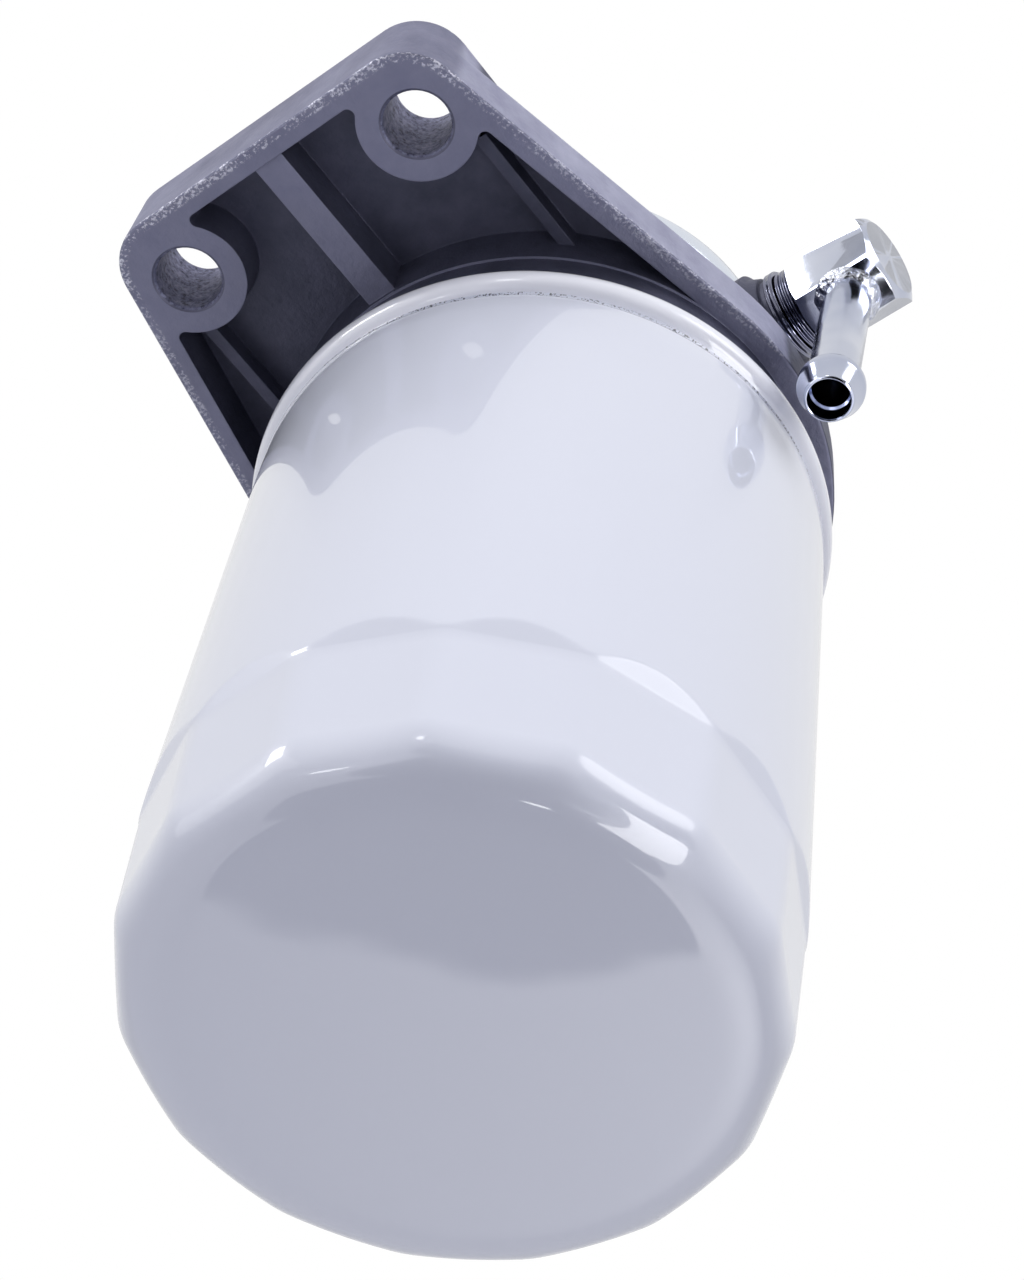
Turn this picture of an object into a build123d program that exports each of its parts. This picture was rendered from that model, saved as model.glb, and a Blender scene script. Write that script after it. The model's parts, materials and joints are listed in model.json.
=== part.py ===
from build123d import *
import math
import os

# Spin-on fuel filter hanging from a die-cast head with a two-bolt flange,
# two hexagonal hose elbows and a diaphragm hand pump on top. Millimetres, +Z up.
# Everything is built about the filter's axis with z = 0 at the widest line of
# the canister's rolled rim. The last step moves it so that the origin is the
# middle of the two flange holes on the face that meets the engine bracket.
# The flange points to -Y, the inlet to +X and the outlet to -X.

# Canister
can_r = 40.0
can_wall = 0.7
can_length = 105.0
rim_proud = 1.0
rim_up = 2.2
rim_down = 3.2
rim_band = 2.6
groove_deep = 0.45
groove_wide = 1.2
flat_count = 15
flat_phase = -79.8
flat_long = 15.3
flat_in = 0.7
scallop_long = 2.9
end_rest = 6.5
end_round = 6.5
end_dish = 0.6
end_land = 2.0

# Thread and its plate
thread_r = 9.5
thread_gap = 0.25
thread_pitch = 1.5
unscrew_turns = 8
stud_bore = 6.5
stud_collar_r = 11.2
stud_collar_thick = 1.5
plate_thick = 4.0
plate_neck_wall = 1.6
intake_count = 8
intake_r = 2.8
intake_out = 18.9
retainer_lap = 5.0
sheet = 1.0
snug = 0.1

# Gasket
gasket_inset = 4.0
gasket_wide = 5.0
gasket_high = 4.5
gasket_proud = 1.8
gasket_edge = 0.6
lip_high = 2.0

# Paper element
element_gap = 1.25
element_drop = 16.0
pleat_count = 36
pleat_thick = 0.9
core_r = 15.0
core_wall = 0.8
core_hole_r = 2.5
core_hole_rows = 5
core_hole_ring = 6
cap_skirt = 3.0
grommet_wall = 2.1
grommet_high = 9.0
spring_top_r = 12.0
spring_foot_r = 25.0
spring_high = 8.3

# Head casting
body_extra = 1.1
skirt_up = 10.0
skirt_high = 9.2
pad_rise = 3.2
pad_back = 13.0
cast_wall = 3.2
plate_cast = 2.2
draft = 2.0
core_draft = 3.0
corner_r = 8.2
shelf_round = 2.6
pad_round = 0.7
lip_round = 0.4
pocket_round = 1.0
hole_spacing = 41.0
hole_reach = 55.9
hole_r = 4.67
hole_chamfer = 0.5
hole_boss_r = 8.35
side_edge = 8.9
end_edge = 10.4
rib_wide = 4.5
rib_sunk = 0.8
gusset_out = 25.0
gusset_wide = 1.8
gusset_sunk = 3.6
land_in = 1.0
land_edge = 0.8
boss_lean = 0.6
boss_step = 0.3
chamber_high = 7.0
stud_boss_wall = 3.2
drum_land = 1.9
drum_lean = 1.2
stud_hold = 4.0
stud_bore_top = 1.5
drum_up = 38.8

# Ports and hose elbows
port_up = 32.6
port_back = 5.2
port_in = 3.5
port_boss_r = 8.6
port_nose_r = 6.4
port_nose_long = 3.0
port_bore = 5.1
port_deep = 11.0
passage_r = 2.5
port_web = 4.0
pump_clear = 1.0
washer_thick = 1.5
washer_r = 6.9
shank_r = 5.0
shank_gap = 1.3
collar_r = 6.3
hex_flats = 13.0
hex_start = 3.8
hex_long = 13.5
hex_slope = 30.0
elbow_bore = 3.0
pipe_out = 10.8
pipe_r = 3.5
pipe_bore = 2.6
pipe_reach = 41.0
pipe_tilt = 5.8
pipe_sunk = 3.2
bead_r = 4.65
bead_back = 5.6
bead_long = 2.6
mouth_r = 3.3
mouth_bore = 2.9
mouth_deep = 3.0
braze_r = 4.5
braze_high = 1.3

# Hand pump
pump_sheet = 1.2
pump_rim_r = 31.4
pump_dish_high = 1.8
clamp_wide = 3.2
rubber = 1.5
plate_r = 13.0
plunge = 8.0
dome_gap = 1.6
shaft_r = 3.0
shaft_gap = 0.3
collar_high = 3.5
rivet_gap = 0.6
rivet_high = 1.2
rivet_proud = 1.5
knob_r = 13.0
knob_high = 7.5
knob_wall = 2.0
knob_clear = 1.0
coil_r = 6.4
wire_r = 0.6
coil_count = 5
screw_count = 3
screw_r = 2.0
screw_head_r = 3.6
screw_head_high = 1.6
screw_long = 9.0
screw_slot = 0.8
screw_inset = 1.5

# Check valves under the pump
valve_r = 5.2
valve_hole = 2.2
valve_disc_r = 3.9
valve_disc_thick = 0.9
valve_lift = 1.2
valve_spring_room = 0.8
valve_out = 13.0
valve_seat_thick = 0.8
valve_wire_r = 0.25
valve_coil_r = 3.0
valve_land = 1.4

# Bleed screw
bleed_clear = 7.9
bleed_boss_r = 5.0
bleed_boss_high = 5.0
bleed_r = 2.9
bleed_gap = 0.15
bleed_flats = 10.0
bleed_head_high = 4.5
bleed_deep = 9.0
bleed_washer_thick = 1.2
bleed_drill = 1.3

# Places worked out from the sizes above
rim_r = can_r + rim_proud
end_z = -can_length
flat_end_z = end_z + end_rest
flat_top_z = flat_end_z + flat_long
body_r = can_r + body_extra
seat_z = rim_up + gasket_proud
gasket_z = seat_z - gasket_high
gasket_out_r = can_r - gasket_inset
gasket_in_r = gasket_out_r - gasket_wide
plate_z = gasket_z - sheet
skirt_z = skirt_up
shelf_z = skirt_z + skirt_high
pad_z = shelf_z + pad_rise
floor_z = shelf_z - plate_cast
boss_r = body_r - cast_wall + boss_step
end_y = -(hole_reach + end_edge)
hole_x = hole_spacing / 2
reach = math.hypot(hole_x, hole_reach)
side_angle = math.asin((body_r - side_edge) / reach) - math.atan2(hole_x, hole_reach)
corner_y = end_y + corner_r
corner_x = (body_r - corner_r + corner_y * math.sin(side_angle)) / math.cos(side_angle)
cap_z = -element_drop
spring_foot_z = end_z + can_wall + end_dish
element_low_z = spring_foot_z + spring_high + sheet
element_long = cap_z - element_low_z
flat_r = (can_r - flat_in) * math.cos(math.pi / flat_count)
element_r = flat_r - can_wall - element_gap - sheet - snug
neck_r = thread_r + thread_gap + plate_neck_wall
collar_z = seat_z - stud_collar_thick
stud_low_z = plate_z - unscrew_turns * thread_pitch + 0.5
base_z = drum_up
dish_r = pump_rim_r - pump_sheet - clamp_wide - pump_dish_high
drum_r = dish_r + drum_land
screw_ring = dish_r - screw_head_r - screw_inset
bleed_out = drum_r + bleed_clear
valve_well = valve_seat_thick + valve_disc_thick + valve_lift + valve_spring_room
flange_z = base_z + pump_sheet + pump_dish_high
clamp_z = flange_z + rubber
plates_z = base_z + pump_sheet + rivet_gap + rivet_high + sheet + plunge
dome_z = plates_z + rubber + sheet + dome_gap
dome_top_z = dome_z + pump_sheet
knob_low_z = dome_top_z + plunge + knob_clear
knob_top_z = knob_low_z + knob_high
port_face = body_r - port_in
port_end_x = port_face - port_deep
passage_z = port_up - port_bore + passage_r + 0.3

lowest = (Align.CENTER, Align.CENTER, Align.MIN)


def disc(radius, low, high):
    return Pos(0, 0, low) * Cylinder(radius, high - low, align=lowest)


def ring(outer, inner, low, high):
    return disc(outer, low, high) - disc(inner, low - 1, high + 1)


def turned(*outline):
    """A solid turned about Z from a closed outline of (radius, height) points."""
    return revolve(Plane.XZ * make_face(Polyline(*outline, close=True)), Axis.Z)


def drilled(radius, start, end):
    """A round bar from one point to the other, to cut a bore with."""
    line = Vector(*end) - Vector(*start)
    return Plane(origin=start, z_dir=line) * Cylinder(radius, line.length, align=lowest)


def hexagon(flats, low, high):
    face = RegularPolygon(flats / math.sqrt(3), 6, major_radius=True)
    return Pos(0, 0, low) * extrude(face, high - low)


def coil(radius, wire, low, high, turns):
    """A round-wire spring whose wire stays between the two heights."""
    path = Helix((high - low - 2 * wire) / turns, high - low - 2 * wire, radius, center=(0, 0, low + wire))
    start = Plane(origin=path @ 0, z_dir=path % 0)
    return sweep(start * Circle(wire), path=path)


def at(x, y, solid):
    return Pos(x, y, 0) * solid


def along_port(solid):
    """Lays something turned about Z along the inlet port, from the port's face outwards."""
    return Pos(port_face, port_back, port_up) * Rot(0, 90, 0) * solid


def other_side(solid):
    return mirror(solid, about=Plane.YZ)


# Canister
def can_form(inward):
    """The can's outer form moved inwards: a deep-drawn cup with flats pressed in round its end."""
    radius = can_r - inward
    cup = disc(radius, end_z + inward, -rim_down)
    cup = fillet(cup.edges().group_by(Axis.Z)[0], end_round - inward)
    far = 1.2 * can_r
    apex = math.cos(math.pi / flat_count)
    flat_top_r = can_r * apex - inward
    flat_end_r = flat_r - inward
    slope = (flat_top_r - flat_end_r) / flat_long
    past = end_rest + 1.0
    side = Polyline(
        (radius, flat_top_z + scallop_long),
        (flat_top_r, flat_top_z),
        (flat_end_r - slope * past, flat_end_z - past),
        (far, flat_end_z - past),
        (far, flat_top_z + scallop_long),
        close=True,
    )
    width = 2 * radius * math.sin(math.pi / flat_count) * 1.4
    cutter = extrude(Plane.XZ * make_face(side), width / 2, both=True)
    step = 360 / flat_count
    first = flat_phase + step / 2
    for n in range(flat_count):
        cup -= Rot(0, 0, first + n * step) * cutter
    return cup


def canister_shell():
    hollow_r = can_r - end_round - end_land
    globe_r = (hollow_r ** 2 + end_dish ** 2) / (2 * end_dish)
    globe_z = end_z + end_dish - globe_r
    globe = Pos(0, 0, globe_z) * Sphere(globe_r)
    inner_globe = Pos(0, 0, globe_z) * Sphere(globe_r + can_wall)
    outside = can_form(0) - globe
    inside = can_form(can_wall) - inner_globe
    hem_in_r = rim_r - rim_band
    with BuildSketch(Plane.XZ) as seam:
        with BuildLine():
            groove_low = -rim_down - groove_wide
            Polyline(
                (hem_in_r, rim_up - 0.8),
                (hem_in_r, -rim_down),
                (can_r - can_wall, -rim_down),
                (can_r - can_wall, groove_low - 1.0),
                (can_r, groove_low - 1.0),
                (can_r, groove_low),
                (can_r - groove_deep, -rim_down - groove_wide / 2),
                (can_r - groove_deep, -rim_down),
            )
            ThreePointArc((can_r - groove_deep, -rim_down), (rim_r, 0), (rim_r - 1.2, rim_up))
            Line((rim_r - 1.2, rim_up), (hem_in_r + 0.8, rim_up))
            RadiusArc((hem_in_r + 0.8, rim_up), (hem_in_r, rim_up - 0.8), -0.8)
        make_face()
    bead = revolve(seam.sketch, Axis.Z)
    groove = ring(can_r + 1, can_r - can_wall, -rim_down - groove_wide - 0.5, 0)
    return outside - inside - disc(can_r - can_wall, -rim_down - 1, 1) - groove + bead


def gasket_retainer():
    """Pressed ring that holds the gasket and is caught under the rolled rim."""
    inner = gasket_in_r - sheet - snug
    channel_in = inner + sheet
    channel_out = gasket_out_r + snug
    outer = channel_out + sheet
    flange_r = can_r - can_wall - snug
    return turned(
        (inner - retainer_lap, plate_z),
        (channel_out, plate_z),
        (channel_out, -rim_down - sheet),
        (flange_r, -rim_down - sheet),
        (flange_r, -rim_down),
        (outer, -rim_down),
        (outer, gasket_z + lip_high),
        (channel_out, gasket_z + lip_high),
        (channel_out, gasket_z),
        (channel_in, gasket_z),
        (channel_in, gasket_z + lip_high),
        (inner, gasket_z + lip_high),
        (inner, gasket_z),
        (inner - retainer_lap, gasket_z),
    )


def tapping_plate():
    """Thick threaded plate with a drawn neck and a ring of intake holes."""
    outer = gasket_in_r - 1.5
    bore = thread_r + thread_gap
    low = plate_z - plate_thick
    neck_low = stud_low_z + 1.0
    plate = turned(
        (bore, neck_low),
        (neck_r, neck_low),
        (neck_r, low),
        (outer, low),
        (outer, plate_z),
        (bore + 0.8, plate_z),
        (bore, plate_z - 0.8),
    )
    for spot in PolarLocations(intake_out, intake_count):
        plate -= spot * disc(intake_r, low - 1, plate_z + 1)
    return plate


def sealing_gasket():
    section = Polyline(
        (gasket_in_r, gasket_z),
        (gasket_out_r, gasket_z),
        (gasket_out_r, seat_z - gasket_edge),
        (gasket_out_r - gasket_edge, seat_z),
        (gasket_in_r + gasket_edge, seat_z),
        (gasket_in_r, seat_z - gasket_edge),
        close=True,
    )
    return revolve(Plane.XZ * make_face(section), Axis.Z)


def pleated_element():
    """Filter paper folded into a star of even pleats."""
    root_in = core_r + 0.5
    root_out = root_in + pleat_thick
    tip_in = element_r - 3 * pleat_thick
    half = math.pi / pleat_count
    outer_pts = []
    inner_pts = []
    for n in range(pleat_count):
        tip = 2 * n * half
        root = tip + half
        outer_pts.append((element_r * math.cos(tip), element_r * math.sin(tip)))
        outer_pts.append((root_out * math.cos(root), root_out * math.sin(root)))
        inner_pts.append((tip_in * math.cos(tip), tip_in * math.sin(tip)))
        inner_pts.append((root_in * math.cos(root), root_in * math.sin(root)))
    star = make_face(Polyline(*outer_pts, close=True)) - make_face(Polyline(*inner_pts, close=True))
    return Pos(0, 0, element_low_z) * extrude(star, element_long)


def centre_tube():
    """Perforated steel core that keeps the paper from collapsing."""
    tube = ring(core_r, core_r - core_wall, element_low_z, cap_z)
    step = element_long / core_hole_rows
    for row in range(core_hole_rows):
        height = element_low_z + (row + 0.5) * step
        for n in range(core_hole_ring // 2):
            turn = (n + 0.5 * (row % 2)) * 360 / core_hole_ring
            bar = Rot(0, 0, turn) * Pos(0, 0, height) * Rot(0, 90, 0) * Cylinder(core_hole_r, 3 * core_r)
            tube -= bar
    return tube


def end_cap(hole):
    """Pressed cap glued over one end of the paper, as seen from above."""
    outer = element_r + snug + sheet
    cap = disc(outer, 0, sheet) + ring(outer, outer - sheet, -cap_skirt, 0)
    if hole:
        cap -= disc(hole, -1, sheet + 1)
    return cap


def upper_end_cap():
    return Pos(0, 0, cap_z) * end_cap(neck_r + snug + grommet_wall + snug)


def lower_end_cap():
    return Pos(0, 0, element_low_z) * Rot(180, 0, 0) * end_cap(0)


def element_grommet():
    """Rubber ring that seals the clean side to the plate's neck."""
    inner = neck_r + snug
    outer = inner + grommet_wall
    top = cap_z + sheet + grommet_high / 2
    rest = cap_z + sheet
    return ring(outer, inner, rest - 2 * sheet, top) + ring(outer + 3.5, inner, rest, rest + 1.5)


def element_spring():
    """Dished spring plate that pushes the element up against its seal."""
    top = element_low_z - sheet
    foot = spring_foot_z
    cone = turned(
        (spring_top_r / 2, top - sheet),
        (spring_top_r, top - sheet),
        (spring_foot_r - 3, foot),
        (spring_foot_r, foot),
        (spring_foot_r, foot + sheet),
        (spring_foot_r - 2.6, foot + sheet),
        (spring_top_r + 0.4, top),
        (spring_top_r / 2, top),
    )
    for spot in PolarLocations((spring_top_r + spring_foot_r) / 2, 4):
        cone -= spot * disc((spring_foot_r - spring_top_r) / 3, foot - 5, top + 5)
    return cone


# Head casting
def flange_outline(inward):
    """The casting seen from below: a round body run out to a two-bolt end."""
    radius = body_r - inward
    far_y = end_y + inward
    far_x = (radius + far_y * math.sin(side_angle)) / math.cos(side_angle)
    meet_x = radius * math.cos(side_angle)
    meet_y = -radius * math.sin(side_angle)
    line = Polyline((far_x, far_y), (meet_x, meet_y), (-meet_x, meet_y), (-far_x, far_y), close=True)
    wedge = make_face(line)
    wedge = fillet(wedge.vertices().group_by(Axis.Y)[0], corner_r - inward)
    return Sketch() + wedge + Circle(radius)


def pocket():
    """The hollow under the flange, with the bosses and middle rib left standing."""
    hollow = flange_outline(cast_wall) - Circle(boss_r) - Pos(0, body_r) * Rectangle(4 * body_r, 2 * body_r)
    for side in (-1, 1):
        hollow -= Pos(side * hole_x, -hole_reach) * Circle(hole_boss_r)
        ear = Rectangle(2 * corner_r, 2 * corner_r, align=(Align.MIN, Align.MAX))
        ear_x = hole_x + 2.0 if side > 0 else -hole_x - 2.0 - 2 * corner_r
        hollow -= Pos(ear_x, -hole_reach - 2.0) * ear
    hollow -= Pos(0, -hole_reach) * Rectangle(rib_wide, 4 * end_edge)
    tips = []
    for corner in hollow.vertices():
        out = math.hypot(abs(corner.X) - hole_x, corner.Y + hole_reach)
        if abs(out - hole_boss_r) < 0.01 and abs(corner.Y + hole_reach) > 1:
            tips.append(corner)
    return fillet(tips, pocket_round)


def mounting_pad():
    """The raised face for the bracket: from the flange's front corners straight back past the holes."""
    long = end_edge + pad_back
    face = RectangleRounded(2 * (corner_x + corner_r), long, corner_r)
    pad = extrude(Pos(0, end_y + long / 2) * face, skirt_high + pad_rise, taper=draft)
    pad = fillet(pad.edges().group_by(Axis.Z)[-1], pad_round)
    return Pos(0, 0, skirt_z) * pad


def port_boss():
    """The inlet's boss: a cast barrel with a turned nose, standing on a web."""
    nose_x = port_nose_long
    barrel = turned(
        (0, -port_face),
        (port_boss_r, -port_face),
        (port_boss_r, -nose_x),
        (port_boss_r - 0.9, 0.5 - nose_x),
        (port_nose_r + 0.6, -1.0),
        (port_nose_r, -1.0),
        (port_nose_r, 0),
        (0, 0),
    )
    boss = along_port(barrel) - disc(pump_rim_r + pump_clear, base_z, base_z + 2 * port_boss_r)
    web_long = port_face - nose_x
    web = Pos(web_long / 2, port_back, shelf_z - 1) * Box(web_long, port_web, port_up - shelf_z, align=lowest)
    return boss + web


def filter_head():
    outline = flange_outline(0)
    skirt = Pos(0, 0, skirt_z) * extrude(outline, skirt_high, taper=draft)
    skirt = fillet(skirt.edges().group_by(Axis.Z)[-1], shelf_round)
    head = skirt + mounting_pad()
    head = fillet(head.faces().sort_by(Axis.Z)[0].outer_wire().edges(), lip_round)

    # Round body below the shelf, with the face that the gasket seals on
    head += turned(
        (0, seat_z),
        (boss_r - boss_lean - land_edge, seat_z),
        (boss_r - boss_lean, seat_z + land_edge),
        (boss_r, floor_z),
        (boss_r, floor_z + 1.0),
        (0, floor_z + 1.0),
    )
    # Drum above the shelf that carries the pump
    head += turned((0, shelf_z - 1), (drum_r + drum_lean, shelf_z - 1), (drum_r, drum_up), (0, drum_up))
    head += port_boss() + other_side(port_boss())
    head += at(0, bleed_out, disc(bleed_boss_r, skirt_z + lip_round, shelf_z + bleed_boss_high))

    head -= Pos(0, 0, skirt_z) * extrude(pocket(), floor_z - skirt_z, taper=core_draft)
    rib_from = end_y + cast_wall
    rib_to = -boss_r
    rib_top = Box(rib_wide + 2, rib_to - rib_from, 1 + rib_sunk, align=lowest)
    head -= Pos(0, (rib_from + rib_to) / 2, skirt_z - 1) * rib_top
    for side in (-1, 1):
        web_y = -hole_reach + hole_boss_r - 1.0
        meet_y = -math.sqrt(boss_r ** 2 - gusset_out ** 2) + 1.5
        web = Box(gusset_wide, meet_y - web_y, floor_z - skirt_z - gusset_sunk + 0.5, align=lowest)
        head += Pos(side * gusset_out, (web_y + meet_y) / 2, skirt_z + gusset_sunk) * web
        hole = at(side * hole_x, -hole_reach, disc(hole_r, skirt_z - 1, pad_z + 1))
        cone = turned((0, 0), (hole_r + hole_chamfer, 0), (hole_r, hole_chamfer), (0, hole_chamfer))
        head -= hole + at(side * hole_x, -hole_reach, Pos(0, 0, skirt_z) * cone)

    # Dirty chamber under the head, centre bore for the stud and its clean passage
    land_in_r = gasket_in_r - land_in
    stud_boss_r = thread_r + stud_boss_wall
    chamber_z = seat_z + chamber_high
    head -= ring(land_in_r, stud_boss_r, seat_z - 1, chamber_z)
    stud_top = chamber_z + stud_hold
    head -= disc(thread_r + snug, seat_z - 1, stud_top)
    head -= disc(stud_bore - stud_bore_top, stud_top - 1, passage_z + passage_r)

    # Ports: threaded bore, then a smaller passage
    for side in (-1, 1):
        face = (side * (port_face + 1), port_back, port_up)
        inner = (side * port_end_x, port_back, port_up)
        head -= drilled(port_bore, face, inner)
        turn = (valve_out if side > 0 else 0, port_back, passage_z)
        head -= drilled(passage_r, (side * (port_end_x + 1), port_back, passage_z), turn)

    # Check valve wells, the suction rise and the feed down to the dirty chamber
    well_z = drum_up - valve_well
    head -= at(valve_out, port_back, disc(valve_r, well_z, drum_up + 1))
    head -= at(valve_out, port_back, disc(valve_hole, passage_z, well_z + 1))
    head -= at(0, -valve_out, disc(valve_r, well_z, drum_up + 1))
    head -= at(0, -valve_out, disc(valve_hole, chamber_z - 1, well_z + 1))
    for spot in PolarLocations(screw_ring, screw_count, start_angle=90):
        head -= spot * disc(screw_r + 0.05, drum_up - screw_long, drum_up + 1)

    # Bleed screw bore with a slanted drilling into the dirty chamber
    bleed_top = shelf_z + bleed_boss_high
    head -= at(0, bleed_out, disc(bleed_r + bleed_gap, bleed_top - bleed_deep - 1.5, bleed_top + 1))
    low_end = (0, land_in_r - 2.0, chamber_z - 1.0)
    head -= drilled(bleed_drill, low_end, (0, bleed_out, bleed_top - bleed_deep + 1))
    return head


def threaded_stud():
    """Hollow nipple that the canister screws onto."""
    top = seat_z + chamber_high + stud_hold - 0.5
    stud = ring(thread_r, stud_bore, stud_low_z, top) + ring(stud_collar_r, stud_bore, collar_z, seat_z)
    ends = stud.edges().filter_by(GeomType.CIRCLE).group_by(Axis.Z)[0].sort_by(SortBy.RADIUS)[-1]
    return chamfer(ends, 0.8)


# Hose elbows, built on the inlet side
def elbow():
    """A hexagon bar with a turned collar and a threaded shank, bored from the shank's end."""
    top = hex_start + hex_long
    flare = hex_flats / math.sqrt(3)
    cut = (flare - hex_flats / 2) * math.tan(math.radians(hex_slope))
    bar = Rot(0, 0, 30) * hexagon(hex_flats, hex_start, top)
    bar &= turned(
        (0, hex_start),
        (hex_flats / 2, hex_start),
        (flare, hex_start + cut),
        (flare, top - cut),
        (hex_flats / 2, top),
        (0, top),
    )
    foot = -port_deep + shank_gap
    shank = turned((0, foot), (shank_r - 0.8, foot), (shank_r, foot + 0.8), (shank_r, 1), (0, 1))
    collar = turned(
        (0, 0),
        (collar_r, washer_thick),
        (collar_r, hex_start - 0.4),
        (collar_r - 0.4, hex_start + 0.3),
        (0, hex_start + 0.3),
    )
    collar &= disc(2 * collar_r, washer_thick, top)
    body = bar + collar + disc(shank_r, 0, washer_thick + 0.5) + shank
    body -= turned(
        (0, foot - 1),
        (elbow_bore, foot - 1),
        (elbow_bore, pipe_out),
        (0, pipe_out + elbow_bore * math.tan(math.radians(hex_slope))),
    )
    socket = Pos(0, 0, pipe_out) * Rot(0, 90, 0) * disc(pipe_r + snug, pipe_sunk, hex_flats)
    return along_port(Rot(0, 0, -pipe_tilt) * (body - socket))


def hose_pipe():
    """Beaded pipe for the hose, let into one side of the hexagon and brazed there."""
    face = hex_flats / 2
    bead_low = pipe_reach - bead_back
    pipe = turned(
        (pipe_bore, pipe_sunk),
        (pipe_r, pipe_sunk),
        (pipe_r, face),
        (braze_r, face),
        (braze_r - 0.3, face + 0.5),
        (pipe_r, face + braze_high),
        (pipe_r, bead_low),
        (bead_r - 0.3, bead_low + 0.5),
        (bead_r, bead_low + 1.1),
        (bead_r, bead_low + bead_long - 0.5),
        (bead_r - 0.25, bead_low + bead_long),
        (mouth_r + 0.1, pipe_reach - 0.4),
        (mouth_r - 0.1, pipe_reach),
        (mouth_bore, pipe_reach),
        (mouth_bore, pipe_reach - mouth_deep),
        (pipe_bore, pipe_reach - mouth_deep - 0.3),
    )
    return along_port(Rot(0, 0, -pipe_tilt) * (Pos(0, 0, pipe_out) * Rot(0, 90, 0) * pipe))


def port_washer():
    return along_port(ring(washer_r, shank_r + snug, 0, washer_thick))


# Hand pump
def pump_base():
    """Pressed dish that closes the head and carries the clamped diaphragm."""
    rise_r = pump_rim_r - pump_sheet - clamp_wide
    out_r = pump_rim_r - pump_sheet - snug
    dish = turned(
        (0, base_z),
        (dish_r + 0.5, base_z),
        (rise_r + 0.5, flange_z - pump_sheet),
        (out_r, flange_z - pump_sheet),
        (out_r, flange_z),
        (rise_r, flange_z),
        (dish_r, base_z + pump_sheet),
        (0, base_z + pump_sheet),
    )
    dish -= at(valve_out, port_back, disc(valve_hole, base_z - 1, flange_z))
    dish -= at(0, -valve_out, disc(valve_hole, base_z - 1, flange_z))
    for spot in PolarLocations(screw_ring, screw_count, start_angle=90):
        dish -= spot * disc(screw_r + 0.3, base_z - 1, flange_z)
    return dish


def pump_base_screws():
    top = base_z + pump_sheet
    screw = disc(screw_head_r, top, top + screw_head_high) + disc(screw_r, top - screw_long, top + 0.5)
    slot = Box(screw_slot, 3 * screw_head_r, screw_head_high, align=lowest)
    screw -= Pos(0, 0, top + screw_head_high / 2) * slot
    places = PolarLocations(screw_ring, screw_count, start_angle=90)
    return Compound(children=[spot * screw for spot in places])


def pump_diaphragm():
    """Rubber disc: a flat clamped rim, one roll, and a raised middle on the plunger."""
    out_r = pump_rim_r - pump_sheet - snug
    rise_r = out_r - clamp_wide
    return turned(
        (shaft_r + snug, plates_z),
        (plate_r + 0.5, plates_z),
        (rise_r - 1.0, flange_z),
        (out_r, flange_z),
        (out_r, clamp_z),
        (rise_r - 1.0, clamp_z),
        (plate_r + 1.2, plates_z + rubber),
        (shaft_r + snug, plates_z + rubber),
    )


def diaphragm_plate(low):
    return turned(
        (shaft_r + snug, low),
        (plate_r - 0.4, low),
        (plate_r, low + 0.4),
        (plate_r, low + sheet),
        (shaft_r + snug, low + sheet),
    )


def pump_cover():
    """Domed steel cover whose rim is rolled under the base's flange."""
    in_r = pump_rim_r - pump_sheet
    rise_r = in_r - clamp_wide - 1.0
    top_r = plate_r + 2.0
    hem_z = flange_z - pump_sheet
    neck_in = shaft_r + shaft_gap
    neck_out = neck_in + pump_sheet
    cover = turned(
        (rise_r, clamp_z),
        (in_r, clamp_z),
        (in_r, hem_z),
        (in_r - 1.0, hem_z),
        (in_r - 1.0, hem_z - pump_sheet),
        (pump_rim_r - 0.4, hem_z - pump_sheet),
        (pump_rim_r, hem_z - pump_sheet + 0.5),
        (pump_rim_r, clamp_z + 0.7),
        (pump_rim_r - 0.5, clamp_z + pump_sheet),
        (rise_r + 0.4, clamp_z + pump_sheet),
        (top_r, dome_top_z),
        (neck_out, dome_top_z),
        (neck_out, dome_top_z + collar_high),
        (neck_in, dome_top_z + collar_high),
        (neck_in, dome_z),
        (top_r - 0.6, dome_z),
    )
    return cover


def plunger_rod():
    """Rod that ties the knob to the diaphragm, riveted over below the lower plate."""
    foot = plates_z - sheet
    top = knob_top_z - knob_wall
    return disc(shaft_r, foot, top) + disc(shaft_r + rivet_proud, foot - rivet_high, foot)


def pump_knob():
    """Push button: a domed cap with a hanging skirt round the return spring."""
    skirt_in = knob_r - knob_wall
    knob = turned(
        (0, knob_top_z - knob_wall),
        (skirt_in, knob_top_z - knob_wall),
        (skirt_in, knob_low_z),
        (knob_r, knob_low_z),
        (knob_r, knob_top_z - 2.4),
        (knob_r - 0.8, knob_top_z - 1.0),
        (knob_r - 2.4, knob_top_z - 0.3),
        (knob_r - 6.0, knob_top_z),
        (0, knob_top_z),
    )
    return knob


def return_spring():
    return coil(coil_r, wire_r, dome_top_z, knob_top_z - knob_wall, coil_count)


# Check valves
def valve_seat(low):
    return ring(valve_r - snug, valve_disc_r - valve_land, low, low + valve_seat_thick)


def valve_disc(low):
    return disc(valve_disc_r, low, low + valve_disc_thick)


def valve_spring(low, high):
    return coil(valve_coil_r, valve_wire_r, low, high, 3)


# Bleed screw
def bleed_washer():
    top = shelf_z + bleed_boss_high
    return at(0, bleed_out, ring(bleed_boss_r - 0.3, bleed_r + bleed_gap, top, top + bleed_washer_thick))


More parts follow.
